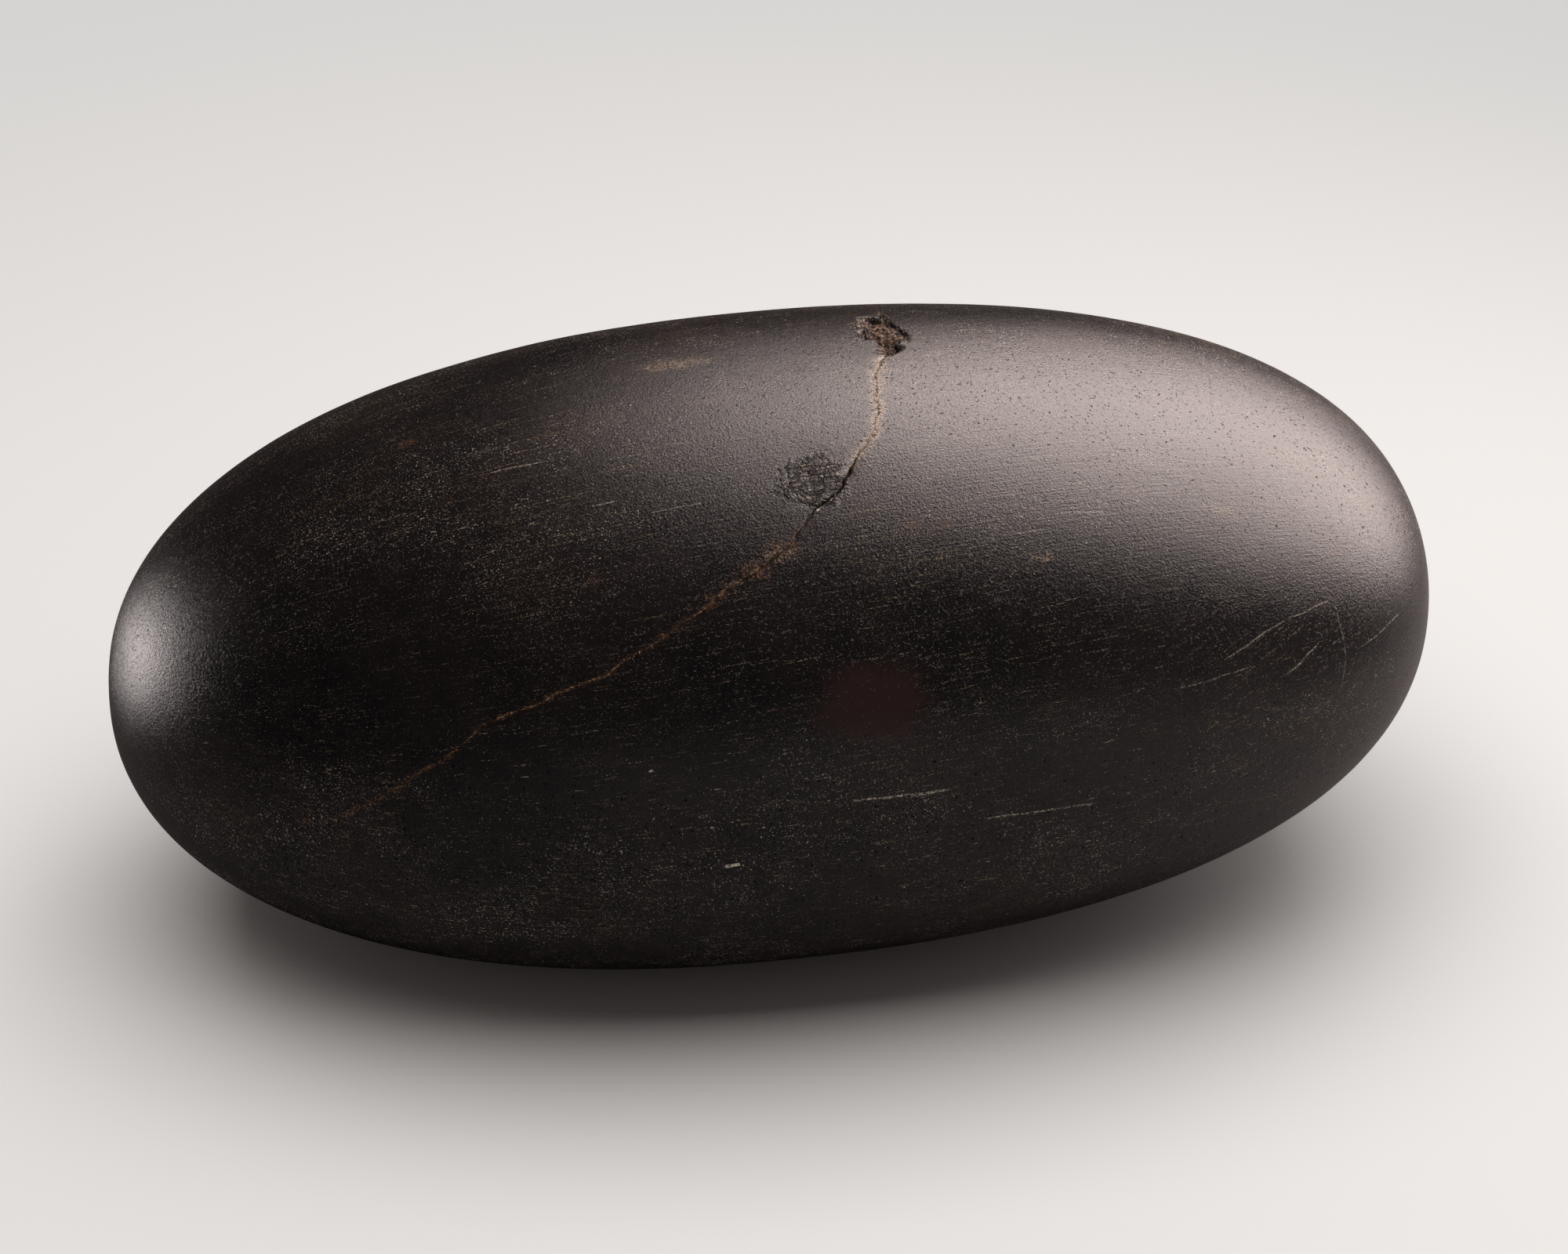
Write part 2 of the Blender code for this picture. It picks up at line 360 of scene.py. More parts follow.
def makeStone():
    # rings along X that follow the crack, joined to a pole at each end, each point moved along its normal by
    # the relief; height h then becomes (h + sqrt(h^2 + s^2)) / 2, so it rests on a flat with a soft edge
    around = columnAngles()
    along = ringAngles(around)
    around = np.broadcast_to(around, along.shape)
    flatAlong = np.concatenate([along.ravel(), [1e-3, math.pi - 1e-3]])
    flatAround = np.concatenate([around.ravel(), [0.0, 0.0]])
    points = stonePoints(flatAlong, flatAround)
    points[-2:] = stonePoints(np.array([0.0, math.pi]), np.array([0.0, 0.0]))
    out, _, _ = stoneDirections(flatAlong, flatAround)
    relief, masks = stoneRelief(points, flatAlong, flatAround)
    masks["grainPlace"] = grainPlace(points)
    points = points + out * relief[:, None]
    height = points[:, 2]
    points[:, 2] = (height + np.sqrt(height**2 + stone["restSoftness"] ** 2)) / 2
    faces = gridFaces(stone["rings"], stone["columns"], len(points) - 2, len(points) - 1)
    return makePiece(stone["name"], points, faces, "stone_body", masks)


# what both veins share
bead = {
    "sides": 12,
    "crumbs": [(1.0, 1.1 * mm), (0.8, 0.4 * mm)],   # height and cell of the lumps that vary its width
    "crumbling": 0.75,
    "knotReach": 0.9,               # degrees
    "crownCell": 0.8 * mm,
    "crownHeight": 0.05 * mm,
    "grit": (0.05 * mm, 0.2 * mm),  # height and cell of the lumps on its skin
    "leastWidth": 0.01 * mm,
    "tailDip": 0.1 * mm,            # its ends dive this deep into the crack
    "smoothing": 9,                 # steps that its direction is averaged over
}


def makeVein(settings):
    # a flattened, crumbly bead carried along the crack: an oval profile whose width and crown follow noise
    turns, steps, seed = bead["sides"], settings["steps"], settings["seed"]
    around = np.linspace(math.radians(settings["from"]), math.radians(settings["to"]), steps)
    along = crackAlong(around)
    centre = stonePoints(along, around)
    out, _, _ = stoneDirections(along, around)
    window = bead["smoothing"]
    padded = np.pad(np.gradient(centre, axis=0), ((window // 2, window // 2), (0, 0)), mode="edge")
    forward = np.stack([np.convolve(f, np.ones(window) / window, "valid") for f in padded.T], axis=-1)
    side = np.cross(out, forward)
    side /= np.linalg.norm(side, axis=-1, keepdims=True)

    run = np.linspace(0, 1, steps)
    taper = np.minimum(1, np.minimum(run, 1 - run) * settings["taper"]) ** 0.5
    degrees = np.degrees(around)
    swelling = np.ones(steps)
    for place, size in settings["knots"]:
        swelling += size * np.exp(-(((degrees - place) / bead["knotReach"]) ** 2))
    swelling *= np.interp(degrees, *settings["thinning"])
    crumbs = layered(centre, [(height, cell, seed + n) for n, (height, cell) in enumerate(bead["crumbs"])])
    width = settings["halfWidth"] * np.clip(1 + bead["crumbling"] * crumbs, 0.3, 2.4) * swelling * taper
    width = width + bead["leastWidth"]
    crown = settings["crown"] + settings["crownWander"] * lumps(centre, bead["crownCell"], seed + 2)

    angle = np.arange(turns) / turns * 2 * math.pi
    across = np.cos(angle)[None, :] * width[:, None]
    up = np.where(np.sin(angle) > 0, np.sin(angle) * bead["crownHeight"], np.sin(angle) * settings["depth"])
    up = up[None, :] * taper[:, None] + (crown * taper)[:, None] - (1 - taper[:, None]) * bead["tailDip"]
    skin = centre[:, None, :] + side[:, None, :] * across[..., None] + out[:, None, :] * up[..., None]
    gritHeight, gritCell = bead["grit"]
    skin = skin + out[:, None, :] * (lumps(skin, gritCell, seed + 3) * gritHeight)[..., None]
    points = np.concatenate([skin.reshape(-1, 3), skin[:1].mean(axis=1), skin[-1:].mean(axis=1)])
    faces = gridFaces(steps, turns, len(points) - 2, len(points) - 1)
    masks = {"crackAround": np.degrees(np.append(np.repeat(around, turns), around[[0, -1]]))}
    return makePiece(settings["name"], points, faces, settings["replaces"], masks)


# from and to are angles around the stone in degrees; knots are such an angle and how much wider the bead is
# there; thinning is angles and the share of the width at each; shades go from dark to pale
lowerVein = {
    "name": "lowerVein", "replaces": "lower_crack_fill", "from": 51.5, "to": 3.0, "steps": 1200, "taper": 8,
    "halfWidth": 0.070 * mm, "crown": -0.020 * mm, "crownWander": 0.09 * mm, "depth": 0.26 * mm, "seed": 30,
    "knots": [(50.3, 1.9), (47.5, 1.9), (43.5, 1.3), (42.2, 0.9), (35.2, 0.5), (30.5, 0.3)],
    "thinning": [(0, 20, 28, 31, 36, 38, 60), (0.35, 0.45, 0.75, 1.25, 1.15, 0.5, 0.5)],
    "material": "ochreVein", "bump": 0.10,
    "shades": [(0.024, 0.011, 0.006), (0.120, 0.060, 0.026), (0.36, 0.25, 0.14)],
}

upperVein = {
    "name": "upperVein", "replaces": "upper_crack_fill", "from": 88.0, "to": 66.0, "steps": 500, "taper": 6,
    "halfWidth": 0.090 * mm, "crown": -0.035 * mm, "crownWander": 0.08 * mm, "depth": 0.24 * mm, "seed": 40,
    "knots": [(86.0, 0.8), (79.0, 0.8), (65.6, 3.5)],
    "thinning": [(60, 90), (1.0, 1.0)],
    "material": "tanVein", "bump": 0.10,
    "shades": [(0.17, 0.13, 0.10), (0.29, 0.225, 0.165), (0.46, 0.38, 0.29)],
}

crust = {
    "name": "chipRust", "replaces": "chip_crust", "rows": 90, "columns": 160,
    "half": (4.0 * mm, 1.6 * mm, 0.35 * mm),    # over the crest, lengthwise and thick
    "sunk": 0.55 * mm,
    "bend": 26 * mm,                            # radius of the crest that the lens bends with
    "ragged": (0.30, 0.45, 51),                 # height, cell and seed of the lumps in its outline
    "roughness": 0.36 * mm,
    "grit": [(1.0, 0.9 * mm, 52), (0.6, 0.42 * mm, 53), (0.35, 0.2 * mm, 54)],
    "material": "chipRust", "bump": 0.14,
    "shades": [(0.014, 0.008, 0.006), (0.090, 0.046, 0.025), (0.38, 0.26, 0.17)],
}


def makeCrust():
    # a lens with a granular skin: a sphere's grid stretched to the chip's hollow, with noise in its thickness
    polar = (np.arange(1, crust["rows"] + 1) / (crust["rows"] + 1) * math.pi)[:, None]
    turn = (np.arange(crust["columns"]) / crust["columns"] * 2 * math.pi)[None, :]
    ball = np.broadcast_arrays(np.sin(polar) * np.cos(turn), np.sin(polar) * np.sin(turn), np.cos(polar))
    unit = np.concatenate([np.stack(ball, axis=-1).reshape(-1, 3), [[0, 0, 1], [0, 0, -1]]])
    ragged = 1 + layered(unit * np.array([1, 1, 0.2]), [crust["ragged"]])
    at = stonePoints(chip["along"], chip["around"])
    out, _, _ = stoneDirections(chip["along"], chip["around"])
    lengthwise = np.cross([0, 1.0, 0], out)
    lengthwise /= np.linalg.norm(lengthwise)
    across = np.cross(out, lengthwise)
    flat = unit * ragged[:, None] * np.array(crust["half"])
    flat[:, 2] += crust["roughness"] * layered(flat, crust["grit"]) * (0.4 + 0.6 * np.abs(unit[:, 2]))
    height = flat[:, 2] - crust["sunk"] - flat[:, 0] ** 2 / (2 * crust["bend"])
    points = at + flat[:, :1] * across + flat[:, 1:2] * lengthwise + height[:, None] * out
    faces = gridFaces(crust["rows"], crust["columns"], len(points) - 2, len(points) - 1)
    return makePiece(crust["name"], points, faces, crust["replaces"])


class Wire:
    # a socket in a node tree; plain maths on it adds Math nodes, and node() adds any other node
    def __init__(self, tree, socket=None):
        self.tree = tree
        self.socket = socket

    def node(self, kind, settings=None, sockets=None, out=0):
        made = self.tree.nodes.new("ShaderNode" + kind)
        for name, value in (settings or {}).items():
            setattr(made, name, value)
        for key, value in (sockets or {}).items():
            if isinstance(value, Wire):
                self.tree.links.new(value.socket, made.inputs[key])
            else:
                made.inputs[key].default_value = value
        return Wire(self.tree, made.outputs[out])

    def math(self, operation, *values):
        return self.node("Math", {"operation": operation}, dict(enumerate(values)))

    def __add__(self, other):
        return self.math("ADD", self, other)

    def __radd__(self, other):
        return self.math("ADD", other, self)

    def __sub__(self, other):
        return self.math("SUBTRACT", self, other)

    def __rsub__(self, other):
        return self.math("SUBTRACT", other, self)

    def __mul__(self, other):
        return self.math("MULTIPLY", self, other)

    def __rmul__(self, other):
        return self.math("MULTIPLY", other, self)

    def __abs__(self):
        return self.math("ABSOLUTE", self)

    def most(self, other):
        return self.math("MINIMUM", self, other)

    def least(self, other):
        return self.math("MAXIMUM", self, other)

    def step(self, low, high):
        # 0 below low and 1 above high, or the other way round where low is the larger
        settings = {"interpolation_type": "SMOOTHSTEP"}
        if low < high:
            return self.node("MapRange", settings, {0: self, 1: low, 2: high, 3: 0.0, 4: 1.0})
        return self.node("MapRange", settings, {0: self, 1: high, 2: low, 3: 1.0, 4: 0.0})

    def vector(self, operation, *values, out="Vector"):
        return self.node("VectorMath", {"operation": operation}, dict(enumerate((self, *values))), out)

    def scaled(self, factors):
        return self.vector("MULTIPLY", factors)

    def dot(self, direction):
        return self.vector("DOT_PRODUCT", direction, out="Value")

    def size(self):
        return self.vector("LENGTH", out="Value")

    def noise(self, scale, detail=2.0, roughness=0.5):
        sockets = {"Vector": self, "Scale": scale, "Detail": detail, "Roughness": roughness}
        return self.node("TexNoise", {}, sockets, "Fac")

    def mix(self, under, over):
        # self is the share of the colour over
        return self.node("Mix", {"data_type": "RGBA"}, {0: self, 6: colour(under), 7: colour(over)}, 2)


def colour(value):
    return value if isinstance(value, Wire) else (*value, 1.0)


def newMaterial(name, piece, constants):
    # an empty Principled material on the piece, and the wire that its maths starts from
    material = bpy.data.materials.new(name)
    material.use_nodes = True
    tree = material.node_tree
    shader = tree.nodes["Principled BSDF"]
    for key, value in constants.items():
        shader.inputs[key].default_value = value
    piece.data.materials.clear()
    piece.data.materials.append(material)
    start = Wire(tree)
    place = start.node("TexCoord", {}, {}, "Object").scaled((1 / mm,) * 3)
    return start, place, shader


def plug(wire, shader, socket):
    wire.tree.links.new(wire.socket, shader.inputs[socket])


def plugRelief(relief, shader):
    # relief is a height in mm
    bump = relief.node("Bump", {}, {"Strength": 1.0, "Distance": mm, "Height": relief}, "Normal")
    plug(bump, shader, "Normal")


# scratches and flecks: start and end as (along, around) in degrees, half width in mm, brightness
marks = [
    ((88.2, 6.2), (79.8, 6.0), 0.075, 0.85),
    ((77.2, -1.0), (67.5, -2.2), 0.060, 0.55),
    ((56.0, 22.5), (49.0, 28.5), 0.055, 0.48),
    ((49.0, 28.5), (43.2, 31.0), 0.060, 0.42),
    ((49.2, 16.0), (45.2, 22.0), 0.065, 0.55),
    ((42.8, 30.0), (41.5, 15.5), 0.050, 0.32),
    ((41.5, 15.5), (42.2, 7.5), 0.050, 0.25),
    ((39.8, 16.5), (30.8, 22.2), 0.060, 0.38),
    ((60.5, 18.5), (52.8, 20.0), 0.050, 0.35),
    ((114.8, 73.0), (109.8, 73.2), 0.060, 0.55),
    ((106.8, 62.2), (104.8, 62.5), 0.060, 0.60),
    ((102.2, 59.3), (97.8, 60.3), 0.050, 0.32),
    ((69.5, 52.6), (64.8, 52.2), 0.055, 0.50),
    ((150.0, 80.0), (157.3, 92.0), 0.080, 0.40),
    ((98.3, -5.2), (97.2, -5.0), 0.110, 3.0),
    ((88.9, 56.8), (88.6, 56.9), 0.075, 2.6),
    ((99.3, 3.5), (99.1, 3.5), 0.070, 0.9),
    ((104.1, 15.5), (103.9, 15.5), 0.070, 0.9),
]

# rusty places, and below them places strewn with pale dust: (along, around) in degrees, radius in mm, share
rustPlaces = [
    ((81.2, 52.2), 0.9, 0.8),
    ((78.6, 52.0), 0.7, 0.6),
    ((107.3, 48.5), 0.7, 0.3),
    ((47.8, 112.8), 0.9, 1.0),
    ((41.8, 43.0), 0.9, 0.5),
    ((121.5, 86.8), 1.0, 0.7),
    ((92.0, 50.6), 1.5, 1.0),
    ((94.5, 47.6), 1.3, 1.0),
    ((97.9, 43.2), 0.9, 0.8),
    ((80.6, 104.0), 1.4, 1.0),
    ((79.3, 94.0), 1.0, 0.9),
    ((81.0, 98.5), 0.9, 0.9),
]
dustPlaces = [
    ((70.8, 44.8), 0.7, 0.9),
    ((92.5, 49.8), 0.9, 0.7),
    ((96.0, 46.0), 0.6, 0.6),
    ((98.3, 94.2), 2.2, 0.65),
    ((96.3, 94.5), 1.6, 0.5),
    ((54.5, 52.0), 1.2, 0.4),
    ((81.0, 86.0), 1.2, 0.5),
]


def markMask(place, start, end, width):
    # near the plane through both ends and the stone's middle, and between the ends
    ends = [np.radians(start), np.radians(end)]
    first, last = (stonePoints(e[0], e[1]) / mm for e in ends)
    out, _, _ = stoneDirections(*((ends[0] + ends[1]) / 2))
    run = last - first
    length = float(np.linalg.norm(run))
    run = run / length
    square = np.cross(run, out)
    square /= np.linalg.norm(square)
    sideways = abs(place.dot(tuple(square)) - float(first @ square))
    lengthwise = abs(place.dot(tuple(run)) - float((first + last) @ run / 2)) - length / 2
    return sideways.step(width, width * 0.35) * lengthwise.step(width * 1.2, -0.10 * length)


def spotGap(place, spot, stretch=(1, 1, 1)):
    # distance in mm from a spot on the stone; a stretch below 1 makes the spot longer that way
    at = stonePoints(*np.radians(spot)) / mm
    return place.vector("SUBTRACT", tuple(at)).scaled(stretch).size()


stoneFinish = {
    "material": "basalt",
    "ior": 1.54,
    "coolBlack": (0.0055, 0.0050, 0.0056),
    "warmBlack": (0.0125, 0.0098, 0.0094),
    # grain and warmGrain: pale crystals, which also stand in for glints in the gloss (partly painted
    # highlight)
    "grain": (0.300, 0.270, 0.250),
    "warmGrain": (0.300, 0.210, 0.130),
    "sand": (0.075, 0.066, 0.062),
    "tan": (0.300, 0.230, 0.150),
    "ochre": (0.130, 0.072, 0.028),
    "rust": (0.055, 0.020, 0.009),
    "brightRust": (0.300, 0.150, 0.060),
    # pale: the scratches' own colour, and on the specks a painted glint
    "pale": (0.46, 0.41, 0.34),
    "liver": (0.0350, 0.0195, 0.0182),
    "liverAt": (86.0, 23.5),            # along and around, in degrees
    "liverStretch": (0.23, 0.31, 0.31),
    "scuffsAt": (47, 20),
    "scuffsReach": (15.0, 5.0),         # where the slanting scuffs begin and are thickest, in mm
    # the way that they run and two ways across, with cells per mm
    "scuffsGrid": [((0.83, 0.45, 0.33), 0.16), ((-0.55, 0.55, 0.63), 6.0), ((0.1, -0.7, 0.7), 6.0)],
    # the chip's floor, the open crack's floor and the pits below are painted shade; the chip's rust and grit
    # are its own colour
    "chipFloorShade": (0.007, 0.005, 0.005),
    "chipRust": (0.090, 0.048, 0.026),
    "chipGrit": (0.340, 0.245, 0.165),
    "crackFloorShade": (0.012, 0.007, 0.006),
    "hollow": (0.006, 0.005, 0.0045),
    "markSpread": 1.7,                  # marks are drawn this much wider, because their edges are soft
    "slope": 0.07,                      # the grinding lines rise this much towards +X
    "roughness": 0.228,
    # what is added to the roughness, or taken away
    "cloudRough": 0.08,
    "crystalRough": 0.20,
    "speckRough": 0.30,
    "chipRough": 0.30,
    "pitRough": 0.30,
    "liverSmooth": 0.04,
    "patchSmooth": 0.10,
    # heights in mm
    "crystalHeight": 0.048,
    "lumpHeight": 0.012,
    "ridgeHeight": 0.018,
    "pitDepth": 0.07,
    "markDepth": 0.012,
    "chipHeight": 0.26,
    "patchHeight": 0.14,
    "patchLines": 0.18,
}


def slantingScuffs(place, broken):
    # long thin noise cells that slant across the blunt end
    parts = [place.dot(way) * cells for way, cells in stoneFinish["scuffsGrid"]]
    grid = place.node("CombineXYZ", {}, dict(enumerate(parts)))
    near = spotGap(place, stoneFinish["scuffsAt"]).step(*stoneFinish["scuffsReach"])
    return grid.noise(1.0, 2.0, 0.55).step(0.59, 0.70) * broken * near


def nearSpots(mask, place, spots, stretch, ragged, edge):
    # the mask with ragged round places added to it; edge is where a place begins, as a share of its radius
    for spotAt, radius, share in spots:
        near = (spotGap(place, spotAt, stretch) + ragged).step(radius * edge, radius * 0.2)
        mask = mask.least(near * share)
    return mask


def drawnMarks(place, around):
    # the listed scratches and flecks, a little wavy, on the front and crest only
    wavy = place.node("TexNoise", {}, {"Vector": place, "Scale": 0.45, "Detail": 4.0}, "Color")
    wavy = wavy.vector("MULTIPLY_ADD", (0.5,) * 3, place).vector("SUBTRACT", (0.25,) * 3)
    drawn = None
    for first, last, width, bright in marks:
        mask = markMask(wavy, first, last, width * stoneFinish["markSpread"]) * bright
        drawn = mask if drawn is None else drawn.least(mask)
    return drawn * around.step(-40.0, -30.0) * around.step(125.0, 115.0)


def finishStone(piece):
    look = stoneFinish
    start, place, shader = newMaterial(look["material"], piece, {"IOR": look["ior"]})

    def read(name, out="Fac"):
        return start.node("Attribute", {"attribute_name": name}, {}, out)

    grain = read("grainPlace", "Vector")
    uphill = grain.dot((-look["slope"], 0, 0))
    grain = grain.vector("ADD", start.node("CombineXYZ", {}, {1: uphill, 2: uphill}))
    gap, around = read("crackGap"), read("crackAround")
    inChip, inPits, inGroove = read("inChip"), read("inPits"), read("inGroove")

    # slow mottling, zones where specks are more or less frequent, and the noises that several masks share
    clouds = place.noise(0.09, 3.0, 0.55)
    blotches = place.noise(0.55, 3.0, 0.6)
    zones = grain.scaled((0.06, 0.11, 0.11)).noise(1.0, 3.0, 0.6).step(0.36, 0.64)
    tint = place.noise(0.23, 3.0, 0.6)
    crystals = place.noise(5.2, 3.0, 0.7)
    grains = place.noise(5.5, 3.0, 0.7)
    grit = place.noise(3.6, 3.0, 0.7)
    ragged = place.noise(1.7, 4.0, 0.75)
    broken = place.noise(6.5, 2.0, 0.6).step(0.50, 0.60)
    mottling = clouds.step(0.35, 0.65) * 0.55 + blotches.step(0.38, 0.66) * 0.45

    # smooth liver-coloured place in the front, where the specks are worn off
    spread = spotGap(place, look["liverAt"], look["liverStretch"])
    spot = (spread + place.noise(0.45, 4.0, 0.65) * 1.1 - 0.55).step(1.30, 0.60)
    clean = 1 - spot * 0.80

    # fine crystals, specks and dashes along the grinding direction, fewer over the middle of the front where
    # the gloss is darkest (painted shade); the pale crystals and specks partly stand in for glints (painted
    # highlight)
    clusters = place.noise(0.9, 2.0, 0.6)
    # painted shade: the specks thin out over the middle of the front, where the gloss is darkest
    band = 0.35 + around.step(36.0, 56.0) * 0.65 + around.step(24.0, 4.0) * 0.35
    crowd = (0.25 + zones * 0.75) * clean * band
    # partly painted highlight: pale grains that stand in for glints in the gloss
    sparkle = (place.noise(8.0, 2.0, 0.6) + (clusters - 0.5) * 0.10).step(0.66, 0.70) * crowd
    sand = place.noise(8.5, 1.0, 0.5).step(0.53, 0.64) * crowd
    # specks; their pale share is a painted glint
    specksAndGlints = (place.noise(6.0, 2.0, 0.55) + (zones + clusters) * 0.06).step(0.735, 0.775) * clean * band
    dashes = (grain.scaled((0.20, 5.2, 5.2)).noise(1.0, 2.0, 0.55) + zones * 0.03).step(0.685, 0.75)
    threads = (grain.scaled((0.07, 6.5, 6.5)).noise(1.0, 2.0, 0.55) + zones * 0.03).step(0.61, 0.72)
    streaks = dashes * broken * clean
    threads = threads * broken * clean
    slanting = slantingScuffs(place, broken)

    # rust and dust beside the crack and at their places
    closed = 0.35 + around.step(70.0, 52.0) * 0.65
    stain = (gap + (place.noise(1.5, 4.0, 0.7) - 0.5) * 2.2).step(0.25, -0.2)
    stain = stain * around.step(-6.0, 10.0) * around.step(116.0, 106.0) * closed
    stain = nearSpots(stain, place, rustPlaces, (0.7, 1, 1), (ragged - 0.5) * 3.0, 0.9)
    dust = (gap + (place.noise(2.0, 3.0, 0.7) - 0.5) * 1.6).step(0.9, 0.1) * around.step(62.0, 68.0)
    dust = dust * around.step(98.0, 90.0) * 0.9
    dust = nearSpots(dust, place, dustPlaces, (0.6, 1.5, 1), (ragged - 0.5) * 3.5, 1.0)
    dust = dust * grains.step(0.47, 0.55)
    lining = (gap + (place.noise(2.6, 2.0, 0.6) - 0.5) * 0.5).step(0.24, 0.04)
    lining = lining * around.step(2.0, 10.0) * broken

    # ragged edges for the chip and the pitted patch, then what is sunk, scratched and open; the sunk pits and
    # the open crack get painted shade
    inChip = (inChip + (grit - 0.5) * 1.6).step(0.35, 0.60) * inChip.step(0.0, 0.25)
    chipRust = inChip * place.noise(1.4, 3.0, 0.7).step(0.50, 0.62)
    worn = place.noise(0.55, 4.0, 0.7)
    inPits = (inPits + (worn - 0.5) * 3.2 + (ragged - 0.5) * 1.4).step(0.35, 1.0) * inPits.step(0.0, 0.15)
    pits = place.noise(3.6, 3.0, 0.65).step(0.375, 0.30) * clean
    lines = grain.scaled((0.35, 4.2, 4.2)).noise(1.0, 3.0, 0.65)
    # painted shade: the pits, and in the patch its grit and lines
    sunk = pits.least(inPits * grit.step(0.56, 0.46) * 0.85)
    pitShade = sunk.least(inPits * lines.step(0.54, 0.44) * 0.9)
    shown = (drawnMarks(place, around) * (0.06 + grains.step(0.46, 0.56) * 0.94)).most(1.0)
    # painted shade: where the crack is open
    crackShade = inGroove.step(0.30, 0.75)

    # the paint, from the bottom layer up: where it lies and how much it covers, and its colour
    grainAndGlintColour = tint.step(0.42, 0.62).mix(look["grain"], look["warmGrain"])
    tanColour = tint.step(0.50, 0.64).mix(look["tan"], look["ochre"])
    layers = [
        (sand * 0.22, look["sand"]),
        # pale grains, partly painted glints
        (sparkle, grainAndGlintColour),
        (threads * 0.40, look["tan"]),
        (streaks * 0.80, tanColour),
        # specks, whose pale share is a painted glint
        (specksAndGlints * 0.90, tint.step(0.42, 0.56).mix(look["pale"], tanColour)),
        (slanting * 0.60, look["tan"]),
        (spot * 0.80, look["liver"]),
        (stain * grains.step(0.46, 0.56) * 0.70, look["rust"]),
        (stain * grains.step(0.57, 0.62) * 0.90, look["brightRust"]),
        (lining * 0.55, look["ochre"]),
        (dust * 0.85, look["tan"]),
        # painted shade on the chip's floor
        (inChip * 0.9, look["chipFloorShade"]),
        (chipRust * 0.6, look["chipRust"]),
        (inChip * grit.step(0.57, 0.64) * 0.8, look["chipGrit"]),
        (shown, look["pale"]),
        # painted shade in the open crack
        (crackShade * 0.85, look["crackFloorShade"]),
        # painted shade in the pits and the patch's hollows
        (sunk, look["hollow"]),
        (pitShade, look["hollow"]),
        (inPits * (lines * 0.5 + grit * 0.5).step(0.56, 0.62) * 0.8, look["tan"]),
    ]
    paint = mottling.mix(look["coolBlack"], look["warmBlack"])
    for mask, over in layers:
        paint = mask.mix(paint, over)
    plug(paint, shader, "Base Color")

    # a dark metal has no gloss of its own, so this keeps light out of pits, the open crack and the chip
    dull = pitShade.least(inChip * grit.step(0.60, 0.50) * 0.85).least(crackShade * 0.8)
    plug(dull.most(0.9), shader, "Metallic")

    rough = look["roughness"] + (clouds - 0.5) * look["cloudRough"] + (crystals - 0.5) * look["crystalRough"]
    rough = rough + (specksAndGlints + streaks + stain * 0.3 + inGroove).most(1.0) * look["speckRough"]
    rough = rough + inChip * look["chipRough"] + pits * look["pitRough"]
    rough = rough - spot * look["liverSmooth"] - inPits * look["patchSmooth"]
    plug(rough, shader, "Roughness")

    # crystals and ridges from grinding, less the pits and marks
    fine = crystals * look["crystalHeight"] + place.noise(2.4, 2.0, 0.6) * look["lumpHeight"]
    ground = 0.6 + around.step(25.0, 50.0) * around.step(85.0, 65.0) * 0.7
    ridges = grain.scaled((0.10, 4.4, 4.4)).noise(1.0, 2.0, 0.6) * ground * look["ridgeHeight"]
    relief = (fine + ridges) * clean - pits * look["pitDepth"] - shown * look["markDepth"]
    relief = relief + (inChip * look["chipHeight"] + inPits * look["patchHeight"]) * grit
    plugRelief(relief + inPits * lines * look["patchLines"], shader)


mineralFinish = {"ior": 1.5, "specular": 0.25, "roughness": 0.80, "roughnessWander": 0.3, "shadow": 0.3}


def finishMineral(piece, settings):
    # crumbly iron-oxide mineral: two shades and a pale one mixed by noise, with painted shade in its holes,
    # matt and gritty
    look = mineralFinish
    constants = {"IOR": look["ior"], "Metallic": 0.0, "Specular IOR Level": look["specular"]}
    _, place, shader = newMaterial(settings["material"], piece, constants)
    dark, middle, pale = settings["shades"]
    specks = place.noise(4.5, 3.0, 0.7)
    patchy = 0.35 + place.noise(0.90, 3.0, 0.7).step(0.42, 0.58) * 0.65
    paint = (place.noise(1.1, 4.0, 0.65).step(0.42, 0.58) * patchy).mix(dark, middle)
    paint = (specks.step(0.53, 0.60) * patchy).mix(paint, pale)
    # painted shade: the holes darkened to a share of the dark shade
    holes = place.noise(3.3, 2.0, 0.6).step(0.46, 0.38)
    plug((holes * 0.85).mix(paint, tuple(c * look["shadow"] for c in dark)), shader, "Base Color")
    plug(look["roughness"] + (specks - 0.5) * look["roughnessWander"], shader, "Roughness")
    plugRelief(place.noise(3.0, 4.0, 0.7) * settings["bump"], shader)


camera = {
    "azimuth": -8.0, "elevation": 30.0, "distance": 0.3643, "lens": 100.0,
    "aim": (1.08 * mm, 0.0, 0.09 * mm),  # from the ovoid's middle
    "clip": (0.01, 20),
}

